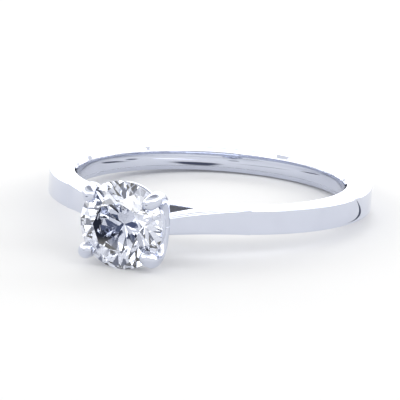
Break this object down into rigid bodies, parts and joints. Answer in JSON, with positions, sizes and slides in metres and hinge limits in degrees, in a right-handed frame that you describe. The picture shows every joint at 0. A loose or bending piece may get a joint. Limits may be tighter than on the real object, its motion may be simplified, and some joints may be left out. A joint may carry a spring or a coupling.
{
  "type": "engagement ring",
  "caption": "Solitaire finger ring: slim polished hoop, cathedral shoulders and a forked claw head holding a round brilliant-cut stone.",
  "frame": {"origin": "centre of the finger hole, at the middle of the hoop's width", "axes": "+Z along the finger, -Y from the finger hole towards the stone, +X across the hoop"},
  "size_m": [0.0198, 0.0242, 0.0054],
  "materials": {
    "white_gold": "mirror polished white gold",
    "diamond": "faceted and polished"
  },
  "bodies": {
    "root": {"shank": "white_gold", "shoulder_left": "white_gold", "shoulder_right": "white_gold", "claw_top_left": "white_gold", "claw_top_right": "white_gold", "claw_bottom_left": "white_gold", "claw_bottom_right": "white_gold", "gallery_ring": "white_gold", "diamond": "diamond"}
  },
  "joints": []
}
